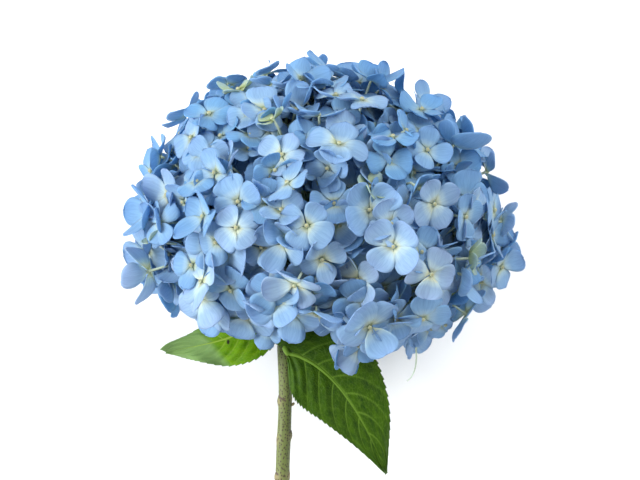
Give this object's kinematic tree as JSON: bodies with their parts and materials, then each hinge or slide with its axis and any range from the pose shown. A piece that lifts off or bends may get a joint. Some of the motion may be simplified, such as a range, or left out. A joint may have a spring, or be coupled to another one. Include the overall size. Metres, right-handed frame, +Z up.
{
  "type": "cut hydrangea",
  "caption": "Cut mophead hydrangea lying down: a domed head of blue four-sepalled florets on branching stalks, one woody stem cut at a slant, and green leaves.",
  "frame": {"origin": "on the table plane, under the middle of the flower's bounding box", "axes": "+Z up from the table, +Y along the flower as it lies, from the stem's cut end to the crown of the head, +X across it"},
  "size_m": [0.1822, 0.303, 0.1779],
  "materials": {
    "sepal_blue": "matte",
    "stalk_green": "matte",
    "stem_green": "matte",
    "leaf_green": "satin"
  },
  "bodies": {
    "root": {"branch_1": "stalk_green", "branch_2": "stalk_green", "branch_3": "stalk_green", "branch_4": "stalk_green", "branch_5": "stalk_green", "branch_6": "stalk_green", "branch_7": "stalk_green", "branch_8": "stalk_green", "cyme_01": "sepal_blue", "cyme_02": "sepal_blue", "cyme_03": "sepal_blue", "cyme_04": "sepal_blue", "cyme_05": "sepal_blue", "cyme_06": "sepal_blue", "cyme_07": "sepal_blue", "cyme_08": "sepal_blue", "cyme_09": "sepal_blue", "cyme_10": "sepal_blue", "cyme_11": "sepal_blue", "cyme_12": "sepal_blue", "cyme_13": "sepal_blue", "cyme_14": "sepal_blue", "cyme_15": "sepal_blue", "cyme_16": "sepal_blue", "cyme_17": "sepal_blue", "cyme_18": "sepal_blue", "cyme_19": "sepal_blue", "cyme_20": "sepal_blue", "cyme_21": "sepal_blue", "cyme_22": "sepal_blue", "cyme_23": "sepal_blue", "cyme_24": "sepal_blue", "cyme_25": "sepal_blue", "cyme_26": "sepal_blue", "cyme_27": "sepal_blue", "cyme_28": "sepal_blue", "cyme_29": "sepal_blue", "cyme_30": "sepal_blue", "cyme_31": "sepal_blue", "cyme_32": "sepal_blue", "cyme_33": "sepal_blue", "cyme_34": "sepal_blue", "cyme_35": "sepal_blue", "cyme_36": "sepal_blue", "cyme_37": "sepal_blue", "cyme_38": "sepal_blue", "cyme_39": "sepal_blue", "cyme_40": "sepal_blue", "cyme_41": "sepal_blue", "cyme_42": "sepal_blue", "cyme_43": "sepal_blue", "cyme_44": "sepal_blue", "cyme_45": "sepal_blue", "cyme_46": "sepal_blue", "cyme_47": "sepal_blue", "cyme_48": "sepal_blue", "leaf_left": "leaf_green", "leaf_right": "leaf_green", "stem": "stem_green"}
  },
  "joints": []
}
